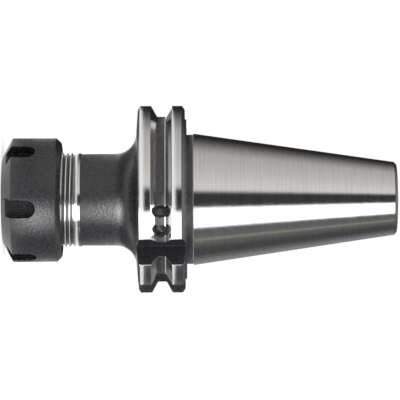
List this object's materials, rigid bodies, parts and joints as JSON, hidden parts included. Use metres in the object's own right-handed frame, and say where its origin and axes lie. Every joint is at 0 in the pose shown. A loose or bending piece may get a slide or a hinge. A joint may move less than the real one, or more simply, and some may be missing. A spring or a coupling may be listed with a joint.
{
  "type": "collet chuck holder",
  "caption": "Steep taper V-flange collet chuck holder, 40 size, with slotted clamping nut, 12 mm spring collet and stop screw.",
  "frame": {"origin": "centre of the clamping nut's front face, on the turning axis, at the bottom of the standing chuck", "axes": "+Z along the turning axis from the nut to the small end of the taper, +X through the middle of the drive slot beside the orientation notch"},
  "size_m": [0.0614, 0.0636, 0.1334],
  "materials": {
    "ground_steel": "fine ground, bright; neck, relief and flange faces black oxide",
    "black_steel": "satin black oxide",
    "collet_steel": "fine ground",
    "screw_steel": "black oxide"
  },
  "bodies": {
    "holder": {"holder_body": "ground_steel"},
    "collet": {"spring_collet": "collet_steel"},
    "nut": {"clamping_nut": "black_steel"},
    "stop": {"stop_screw": "screw_steel"}
  },
  "joints": [
    {"name": "collet_draw", "type": "slide", "parent": "holder", "child": "collet", "axis": [0, 0, -1], "range_m": [0, 0.009]},
    {"name": "nut_turn", "type": "hinge", "parent": "collet", "child": "nut", "pos_m": [0, 0, 0], "axis": [0, 0, -1], "range_deg": [0, 2160]},
    {"name": "stop_depth", "type": "slide", "parent": "holder", "child": "stop", "axis": [0, 0, 1], "range_m": [-0.0035, 0.016]}
  ],
  "couplings": [
    {"joint": "collet_draw", "follows": "nut_turn", "m_per_rad": 0.00023873}
  ]
}
